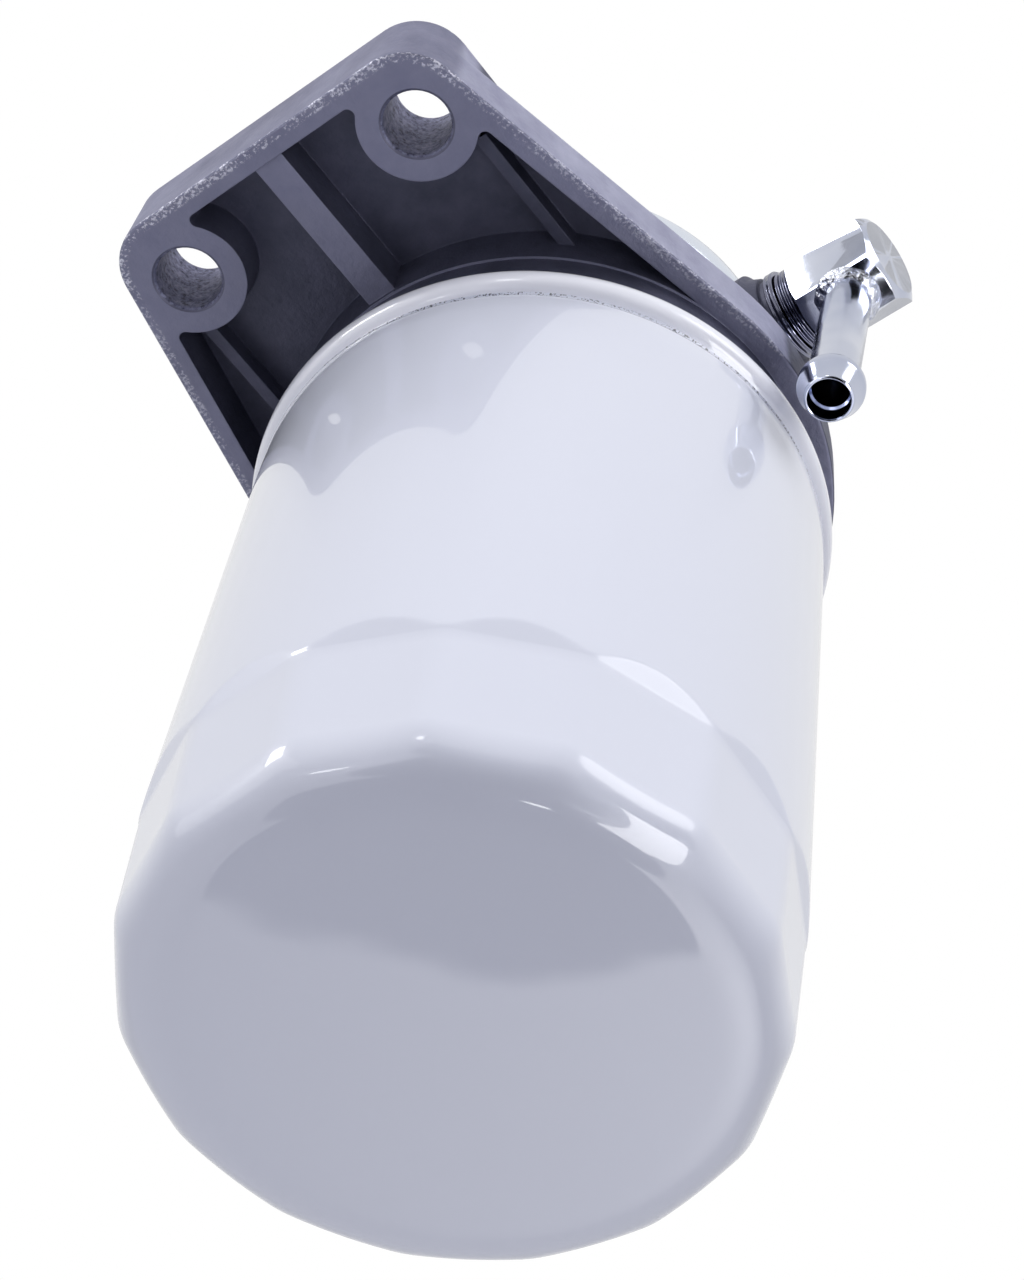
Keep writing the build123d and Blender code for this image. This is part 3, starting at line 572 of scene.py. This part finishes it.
def canister():
    # The end bends slowly into its round edge, so that no line shows where they meet
    round_r = CAN_R - END_ROUND
    join_out = EASE_TO - round_r
    join_down = math.sqrt(END_ROUND ** 2 - join_out ** 2)
    ease = EASE_TO - EASE_FROM
    bend = join_out / join_down / (3 * ease ** 2)
    face = FLAT_END - join_down - bend * ease ** 3
    rings = [(r, face + END_DISH * (1 - (r / EASE_FROM) ** 2)) for r in (2.0, 10.0, 18.0, 25.0)]
    rings += [(EASE_FROM + ease * i / 9, face + bend * (ease * i / 9) ** 3) for i in range(9)]
    rings += arc(round_r, FLAT_END, END_ROUND, -math.degrees(math.acos(join_out / END_ROUND)), 0, 30)
    heights = [FLAT_END + i * (FLAT_TOP - FLAT_END) / 8 for i in range(1, 9)]
    heights += [FLAT_TOP + SCALLOP * i / 10 for i in range(1, 11)]
    heights += [FLAT_TOP + SCALLOP + 0.6, -60.0, -30.0, -8.0, -4.9]
    rings += [(CAN_R, z) for z in heights]
    rings += [(CAN_R - 0.1, -4.45), (CAN_R - 0.42, -4.0), (CAN_R - 0.45, -3.6), (CAN_R - 0.3, -3.25)]
    rings += arc(RIM_R - 2.7, -0.35, 2.7, -68, 62, 14)
    rings += [(39.1, 2.16), (38.6, 2.0), (38.4, 1.5), (38.4, -3.0), (37.3, -3.2)]
    piece = turned("canister", rings, STEPS, close_low=True)
    step = 2 * math.pi / FLATS
    first = math.radians(FLAT_PHASE) + step / 2
    for vert in piece.data.vertices:
        spot = (vert.co - AXIS) / MM
        across = math.hypot(spot.x, spot.y)
        turn = (math.atan2(spot.y, spot.x) - first + step / 2) % step - step / 2
        out = flat_limit(max(spot.z, FLAT_END), turn)
        # The round edge starts from the flats' outline and grows round towards the end
        if spot.z < FLAT_END:
            out = across - (CAN_R - out) * max(0.0, (across - round_r) / END_ROUND) ** 2
        if spot.z < FLAT_TOP + SCALLOP and across > out:
            move_out(vert, spot, out / across)
    dress(piece, "canister", "white_enamel", "canister_shell")
    return piece


# Head casting and the pieces inside: the solids, merged and smooth-shaded
def body_of(node):
    bodies = frame["record"]["behaviour"]["bodies"]
    return next(body for body, nodes in bodies.items() if node in nodes)


def smooth_solid(node, finish):
    """Stands for a CAD node with its own mesh, merged so that round walls shade smoothly."""
    piece = bpy.data.objects.new(node + "_finished", frame["nodes"][node].data.copy())
    bpy.context.collection.objects.link(piece)
    pick(piece)
    bpy.ops.object.mode_set(mode="EDIT")
    bpy.ops.mesh.select_all(action="SELECT")
    bpy.ops.mesh.remove_doubles(threshold=0.000002)
    bpy.ops.object.mode_set(mode="OBJECT")
    bpy.ops.mesh.customdata_custom_splitnormals_clear()
    bpy.ops.object.shade_smooth_by_angle(angle=SOLID_SMOOTH)
    even = piece.modifiers.new("even", "WEIGHTED_NORMAL")
    even.keep_sharp = True
    bpy.ops.object.modifier_apply(modifier="even")
    dress(piece, body_of(node), finish, node)
    return piece


def press(piece):
    """Gives a spring or the diaphragm a mesh of its own."""
    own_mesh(piece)


# Hose elbows: hexagon bar with a turned collar, the beaded pipe brazed into one flat
PORT = (
    Matrix.Translation(Vector((PORT_FACE, PORT_BACK, PORT_UP)) * MM)
    @ Matrix.Rotation(math.radians(90), 4, "Y")
    @ Matrix.Rotation(-PIPE_TILT, 4, "Z")
)
PIPE = PORT @ Matrix.Translation(Vector((0, 0, PIPE_OUT)) * MM) @ Matrix.Rotation(math.radians(90), 4, "Y")


def hexagon_bar(name, flats, low, high, bevel, spot=(0, 0), end_r=None):
    """A hexagon with its corners turned down at the outer end, or at both for a low bevel."""
    deselect()
    bpy.ops.mesh.primitive_cylinder_add(
        vertices=6, radius=flats / math.sqrt(3) * MM, depth=(high - low + 2) * MM,
        location=at(*spot, (low + high) / 2),
    )
    bar = bpy.context.object
    bar.name = name
    bpy.ops.object.transform_apply(location=True, rotation=True, scale=True)
    corner = flats / math.sqrt(3) + 0.02
    slope = math.tan(math.radians(30))
    foot = (corner - flats / 2) * slope if bevel == "both" else 0.01
    end_r = end_r or flats / 2
    fall = (corner - end_r) * slope
    cone = turned(
        "cone",
        [(flats / 2, low), (corner, low + foot), (corner, high - fall), (end_r, high)],
        96, spot, close_low=True, close_high=True,
    )
    cut(bar, cone, "INTERSECT")
    return bar


def elbow():
    """The hexagon bar with its turned collar and spigot, bored from the head's side."""
    body = hexagon_bar("inlet_elbow_body", HEX_FLATS, BAR_START, BAR_END, "both", end_r=BAR_END_R)
    soften(body, 0.22)
    collar = turned(
        "collar",
        [(4.2, -9.7), (5.0, -8.9), (5.0, 1.5), (6.1, 1.5), (6.3, 1.7), (6.3, 3.2), (6.1, 3.6), (5.7, 4.2)],
        96, close_low=True, close_high=True,
    )
    cut(body, collar, "UNION")
    bore = turned("bore", [(3.0, -11.0), (3.0, 10.8), (0.3, 12.3)], 48, close_low=True, close_high=True)
    cut(body, bore, "DIFFERENCE")
    pick(body)
    bpy.ops.object.shade_smooth_by_angle(angle=HEXAGON_SMOOTH)
    lay(body, PORT)
    return body


def hose_pipe():
    """The pipe with its bead and its tapered, rounded end, hollow all the way."""
    reach = PIPE_REACH
    foot = HEX_FLATS / 2 - 0.4
    rings = [(PIPE_BORE_R, foot), (PIPE_R, foot), (PIPE_R, reach - 6.2)]
    rings += [(3.56, reach - 5.9), (3.8, reach - 5.55)]
    rings += arc(3.55, reach - 4.3, 1.1, -68, 0, 6)
    rings += [(4.65, reach - 3.5), (4.6, reach - 3.2), (4.45, reach - 2.95)]
    rings += [(PIPE_R, reach - 0.55), (3.4, reach - 0.25), (3.25, reach - 0.05), (3.1, reach)]
    rings += [(2.98, reach - 0.05), (2.9, reach - 0.25), (2.9, reach - 3.0), (PIPE_BORE_R, reach - 3.3)]
    rings += [(PIPE_BORE_R, foot)]
    pipe = turned("inlet_pipe", rings, 72)
    lay(pipe, PIPE)
    return pipe


def braze():
    """The lumpy ring of braze where the pipe meets the flat."""
    face = HEX_FLATS / 2
    rings = [(3.4, face - 0.1), (4.7, face - 0.1), (4.6, face + 0.2), (4.3, face + 0.6), (3.9, face + 0.95)]
    rings += [(3.6, face + 1.2), (3.4, face + 1.3), (3.4, face - 0.1)]
    ring = turned("inlet_braze", rings, 72)
    for vert in ring.data.vertices:
        spot = (vert.co - AXIS) / MM
        if spot.z > face:
            turn = math.atan2(spot.y, spot.x)
            lump = 1 + 0.035 * math.sin(5 * turn + 1) * math.sin(3 * turn) + 0.02 * math.sin(11 * turn)
            move_out(vert, spot, lump)
    lay(ring, PIPE)
    return ring


def port_washer():
    rings = [(5.1, 0.0), (6.7, 0.0), (6.9, 0.2), (6.9, 1.3), (6.7, 1.5), (5.1, 1.5), (5.1, 0.0)]
    washer = turned("inlet_washer_ring", rings, 72)
    lay(washer, PORT)
    return washer


def hose_elbows():
    body = elbow()
    pipe = hose_pipe()
    ring = braze()
    washer = port_washer()
    far_body = other_side(body, "outlet_elbow_body")
    far_pipe = other_side(pipe, "outlet_pipe")
    far_ring = other_side(ring, "outlet_braze")
    far_washer = other_side(washer, "outlet_washer_ring")
    dress(body, "head", "bright_zinc", "inlet_elbow")
    dress(pipe, "head", "bright_zinc", "inlet_hose_pipe")
    dress(washer, "head", "bright_zinc", "inlet_washer")
    dress(far_body, "head", "bright_zinc", "outlet_elbow")
    dress(far_pipe, "head", "bright_zinc", "outlet_hose_pipe")
    dress(far_washer, "head", "bright_zinc", "outlet_washer")
    for joint in (ring, far_ring):
        dress(joint, "head", "bright_zinc")
        joint.data.materials[0] = BRAZED


# Hand pump: rolled and domed cover, push knob and its spring
def pump_cover():
    rings = [(29.2, 40.6), (29.2, PUMP_LOW), (PUMP_R - 0.7, PUMP_LOW), (PUMP_R - 0.25, PUMP_LOW + 0.15)]
    rings += [(PUMP_R, PUMP_LOW + 0.55), (PUMP_R, 43.7), (PUMP_R - 0.2, 44.2), (PUMP_R - 0.7, 44.5)]
    rings += [(27.2, 44.5), (26.6, 44.6), (26.1, 45.0), (25.4, 45.9)]
    rings += [(22.6, 49.0), (19.6, 52.0), (17.4, 54.1), (16.2, 55.2), (15.2, 55.85), (14.2, DOME_TOP)]
    rings += [(5.2, DOME_TOP), (4.7, DOME_TOP + 0.15), (4.5, DOME_TOP + 0.6), (4.5, DOME_TOP + 3.3)]
    rings += [(4.3, DOME_TOP + 3.5), (3.3, DOME_TOP + 3.5), (3.3, DOME_TOP - 1.2), (14.4, DOME_TOP - 1.2)]
    rings += [(26.0, PUMP_CLAMP), (30.2, PUMP_CLAMP), (30.2, 40.6), (29.2, 40.6)]
    cover = turned("pump_cover_pressing", rings, 120)
    dress(cover, "head", "bright_zinc", "pump_cover")


def knob():
    low, high = KNOB_LOW, KNOB_HIGH
    rings = [(11.0, high - 2.0), (11.0, low + 0.2), (11.2, low), (12.7, low), (KNOB_R, low + 0.3)]
    rings += [(KNOB_R, low + 0.9), (KNOB_R, low + 1.1), (KNOB_R, high - 2.7), (KNOB_R, high - 2.5)]
    rings += [(12.85, high - 1.9), (12.2, high - 1.0), (10.6, high - 0.35), (7.0, high - 0.05)]
    rings += [(3.2, high - 0.4), (3.15, high - 2.0), (11.0, high - 2.0)]
    piece = turned("pump_knob_cap", rings, KNOB_COLUMNS)
    # Grip ribs: every other pair of columns on the side wall is let in
    for vert in piece.data.vertices:
        spot = (vert.co - AXIS) / MM
        column = round(math.atan2(spot.y, spot.x) / (2 * math.pi / KNOB_COLUMNS))
        across = math.hypot(spot.x, spot.y)
        if across > KNOB_R - 0.05 and low + 1.0 < spot.z < high - 2.6 and column % 4 < 2:
            move_out(vert, spot, (across - GRIP_DEPTH) / across)
    dress(piece, "plunger", "black_plastic", "pump_knob")


def return_spring():
    coil_r, wire_r, turns = 6.4, 0.6, 5
    low, high = DOME_TOP, KNOB_HIGH - 2.0
    deselect()
    bpy.ops.mesh.primitive_circle_add(
        vertices=12, radius=wire_r * MM, fill_type="NOTHING", location=at(coil_r, 0, low + wire_r),
        rotation=(math.pi / 2, 0, 0),
    )
    spring = bpy.context.object
    spring.name = "return_spring_coil"
    bpy.ops.object.transform_apply(location=True, rotation=True, scale=True)
    bpy.context.scene.cursor.location = AXIS
    bpy.ops.object.origin_set(type="ORIGIN_CURSOR")
    coil = spring.modifiers.new("coil", "SCREW")
    coil.steps = coil.render_steps = 32
    coil.iterations = turns
    coil.screw_offset = (high - low - 2 * wire_r) / turns * MM
    bpy.ops.object.modifier_apply(modifier="coil")
    bpy.ops.object.transform_apply(location=True, rotation=True, scale=True)
    bpy.ops.object.mode_set(mode="EDIT")
    bpy.ops.mesh.select_all(action="SELECT")
    bpy.ops.mesh.remove_doubles(threshold=0.000001)
    bpy.ops.mesh.fill_holes(sides=0)
    bpy.ops.mesh.normals_make_consistent(inside=False)
    bpy.ops.object.mode_set(mode="OBJECT")
    bpy.ops.object.shade_smooth_by_angle(angle=SPRING_SMOOTH)
    dress(spring, "head", "spring_steel", "return_spring")
    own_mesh(spring)


# Bleed screw on its copper washer, behind the pump
def bleed_screw():
    spot = (0, BLEED_OUT)
    seat = BLEED_UP + 1.2
    rings = [(3.05, BLEED_UP), (4.55, BLEED_UP), (4.7, BLEED_UP + 0.15)]
    rings += [(4.7, seat - 0.15), (4.55, seat), (3.05, seat)]
    washer = turned("bleed_washer_ring", rings + rings[:1], 64, spot)
    dress(washer, "bleed_seal", "copper", "bleed_washer")
    screw = hexagon_bar("bleed_screw_plug", BLEED_FLATS, seat, seat + BLEED_HEAD, "top", spot)
    soften(screw, 0.2)
    shank = turned(
        "shank", [(1.5, BLEED_UP - 9.0), (2.9, BLEED_UP - 7.4), (2.9, seat + 1.0)], 64, spot,
        close_low=True, close_high=True,
    )
    cut(screw, shank, "UNION")
    pick(screw)
    bpy.ops.object.shade_smooth_by_angle(angle=HEXAGON_SMOOTH)
    dress(screw, "bleed_plug", "bright_zinc", "bleed_screw")


canister()
smooth_solid("filter_head", "cast_aluminium")
steel = ("threaded_stud", "tapping_plate", "gasket_retainer", "upper_end_cap", "centre_tube", "plunger_rod")
for name in steel:
    smooth_solid(name, "plain_steel")
for name in ("sealing_gasket", "element_grommet"):
    smooth_solid(name, "black_rubber")
pressed = {
    "pump_diaphragm": smooth_solid("pump_diaphragm", "black_rubber"),
    "suction_valve_spring": smooth_solid("suction_valve_spring", "spring_steel"),
    "delivery_valve_spring": smooth_solid("delivery_valve_spring", "spring_steel"),
}
for joint in frame["record"]["behaviour"]["joints"]:
    for row in joint.get("deforming_nodes", []):
        if row["node"] in pressed:
            press(pressed[row["node"]])
smooth_solid("pump_base", "bright_zinc")
hose_elbows()
pump_cover()
knob()
return_spring()
bleed_screw()


# Floor far below, lights and the white tent that glossy surfaces reflect. Its dark openings and
# bright panels lie on the floor as (x, y) and radius in metres, and above it as direction and
# degrees. Bright ones give their strength too.
WORLD_LIGHT = 0.40
FLOOR = -0.85
FLOOR_SIZE = 6.0
FLOOR_POOL = (-0.15, 0.68, 0.0)
FLOOR_GLOW = 0.35
TENT_WALL = 0.85
TENT_OPENING = 0.1
FLOOR_SOFT = 0.008
WALL_SOFT = 1.0
FLOOR_DARK = [
    ((-0.341, 0.353), 0.183),
    ((-0.08, 0.08), 0.32),
    ((0.43, -0.40), 0.5),
    ((1.6, -1.5), 1.1),
    ((1.9, -0.5), 1.3),
]
FLOOR_BRIGHT = [((-0.03, -1.14), 0.09, 11.0), ((-0.035, 0.175), 0.02, 11.0)]
# The window's wedge on the floor: y and slope of its middle line, half width and how it grows
# with x, softness of its edges, the x where it starts, and its strength
WEDGE_MIDDLE = 0.25
WEDGE_SLOPE = 0.02
WEDGE_HALF = 0.035
WEDGE_SPREAD = 0.15
WEDGE_SOFT = 0.004
WEDGE_START = 0.12
WEDGE_LEVEL = 7.5
WALL_DARK = [((0.70, -0.67, -0.33), 19.0), ((0.99, 0.05, -0.1), 17.0)]
WALL_BRIGHT = [
    ((0.39, -0.913, 0.119), 4.0, 9.0),
    ((-0.42, -0.92, 0.0), 24.0, 1.8),
    ((0.90, -0.03, 0.43), 12.0, 3.4),
]


def floor_disc(tree, spot, place, radius):
    away = distance(tree, spot, Vector((*place, 0.0)))
    return mask(tree, away, radius + FLOOR_SOFT, radius - FLOOR_SOFT)


def wall_disc(tree, towards, direction, degrees):
    middle = Vector(direction).normalized()
    near = add(tree, "VectorMath", {"operation": "DOT_PRODUCT"}, _0=towards, _1=middle)
    low, high = (math.cos(math.radians(degrees + soft)) for soft in (WALL_SOFT, -WALL_SOFT))
    return mask(tree, near.outputs["Value"], low, high)


def pale_floor():
    """A matt floor that shows glossy surfaces the tent's lower openings and panels."""
    deselect()
    bpy.ops.mesh.primitive_plane_add(size=FLOOR_SIZE, location=(0, 0, FLOOR))
    floor = bpy.context.object
    floor.name = "floor"
    material = new_material("pale_floor")
    tree = material.node_tree
    path = add(tree, "LightPath")
    glossy = path.outputs["Is Glossy Ray"]
    spot = add(tree, "TexCoord").outputs["Object"]
    dark = highest(tree, [floor_disc(tree, spot, place, radius) for place, radius in FLOOR_DARK])
    panels = [
        times(tree, floor_disc(tree, spot, place, radius), level) for place, radius, level in FLOOR_BRIGHT
    ]
    # A window's light lies on the floor as a wedge that widens to the right
    flat = add(tree, "SeparateXYZ", Vector=spot)
    off = times_plus(tree, flat.outputs["X"], -WEDGE_SLOPE, -WEDGE_MIDDLE)
    off = add(tree, "Math", {"operation": "ADD"}, _0=flat.outputs["Y"], _1=off).outputs[0]
    off = add(tree, "Math", {"operation": "ABSOLUTE"}, _0=off).outputs[0]
    off = times_plus(tree, flat.outputs["X"], -WEDGE_SPREAD, off)
    start = mask(tree, flat.outputs["X"], WEDGE_START - 0.01, WEDGE_START + 0.01)
    wedge = times(tree, mask(tree, off, WEDGE_HALF + WEDGE_SOFT, WEDGE_HALF - WEDGE_SOFT), start)
    panels.append(times(tree, wedge, WEDGE_LEVEL))
    bright = highest(tree, panels)
    seen = highest(tree, [path.outputs["Is Camera Ray"], glossy])
    # The floor is brightest beyond the dark opening, which grades the can's end from left to right
    away = distance(tree, spot, FLOOR_POOL)
    pool = add(
        tree, "MapRange", Value=away, From_Min=0.5, From_Max=0.05, To_Min=0.35, To_Max=2.6,
    ).outputs[0]
    tent = times_plus(tree, glossy, pool, FLOOR_GLOW)
    matt = add(tree, "BsdfDiffuse", Color=linear("#DADADE"))
    glow = add(tree, "Emission", Color=WHITE, Strength=tent)
    both = add(tree, "AddShader", _0=matt.outputs[0], _1=glow.outputs[0])
    chosen = add(tree, "MixShader", _0=seen, _1=matt.outputs[0], _2=both.outputs[0])
    panel = add(tree, "Emission", Color=WHITE, Strength=bright)
    either = highest(tree, [dark, mask(tree, bright, 0.0, 0.5)])
    mirrored = times(tree, either, glossy)
    shaded = add(tree, "MixShader", _0=mirrored, _1=chosen.outputs[0], _2=panel.outputs[0])
    add(tree, "OutputMaterial", Surface=shaded.outputs[0])
    floor.data.materials.append(material)


def white_surround():
    """An even white surround that shows glossy surfaces the tent's walls, openings and panels."""
    world = bpy.data.worlds.new("surround")
    bpy.context.scene.world = world
    world.use_nodes = True
    tree = world.node_tree
    tree.nodes.clear()
    path = add(tree, "LightPath")
    towards = add(tree, "TexCoord").outputs["Generated"]
    dark = highest(tree, [wall_disc(tree, towards, *disc) for disc in WALL_DARK])
    panels = [
        times(tree, wall_disc(tree, towards, direction, degrees), strength)
        for direction, degrees, strength in WALL_BRIGHT
    ]
    level = times_plus(tree, dark, TENT_OPENING - TENT_WALL, TENT_WALL)
    level = highest(tree, [level, highest(tree, panels)])
    soft = add(tree, "Background", Color=linear("#F1F3FF"), Strength=WORLD_LIGHT)
    tent = add(tree, "Background", Color=WHITE, Strength=level)
    white = add(tree, "Background", Color=WHITE, Strength=1.0)
    seen = highest(tree, [path.outputs["Is Camera Ray"], path.outputs["Is Transmission Ray"]])
    glossy = path.outputs["Is Glossy Ray"]
    either = add(tree, "MixShader", _0=glossy, _1=soft.outputs[0], _2=tent.outputs[0])
    both = add(tree, "MixShader", _0=seen, _1=either.outputs[0], _2=white.outputs[0])
    add(tree, "OutputWorld", Surface=both.outputs[0])


CENTRE = at(0, 0, -50)


def lamp(name, offset, size, power):
    """A square soft lamp, placed from the middle of the can and turned to it."""
    deselect()
    place = CENTRE + Vector(offset)
    bpy.ops.object.light_add(type="AREA", location=place)
    light = bpy.context.object
    light.name = name
    light.data.shape = "SQUARE"
    light.data.size = size
    light.data.energy = power
    light.rotation_euler = (CENTRE - place).to_track_quat("-Z", "Y").to_euler()
    return light


pale_floor()
white_surround()
front = lamp("front_softbox", (0.5, -1.25, 0.95), 1.7, 9.0)
lamp("left_softbox", (-0.49, -1.28, 0.61), 0.45, 6.0)
right = lamp("right_softbox", (1.35, -0.02, 0.66), 0.9, 11.0)
# These two stand behind matt cloth: they light the can without square reflections in the enamel
front.visible_glossy = False
right.visible_glossy = False


# Camera, fitted to the rim, the side lines and the flats of the can in the photograph
def camera():
    bpy.ops.object.camera_add()
    view = bpy.context.object
    view.name = "camera"
    right = Vector((0.78867, 0.60503, 0.10924))
    up = Vector((0.45288, -0.69186, 0.56234))
    back = Vector((0.41581, -0.39403, -0.81966))
    turn = Matrix((right, up, back)).transposed()
    view.matrix_world = Matrix.Translation(at(162.46, -155.23, -348.66)) @ turn.to_4x4()
    view.data.sensor_width = 36.0
    view.data.sensor_fit = "AUTO"
    view.data.lens = 82.8
    view.data.clip_start = 0.01
    view.data.clip_end = 20.0
    bpy.context.scene.camera = view


camera()
bpy.context.scene.view_settings.view_transform = "Standard"

deselect()
bpy.context.view_layer.update()
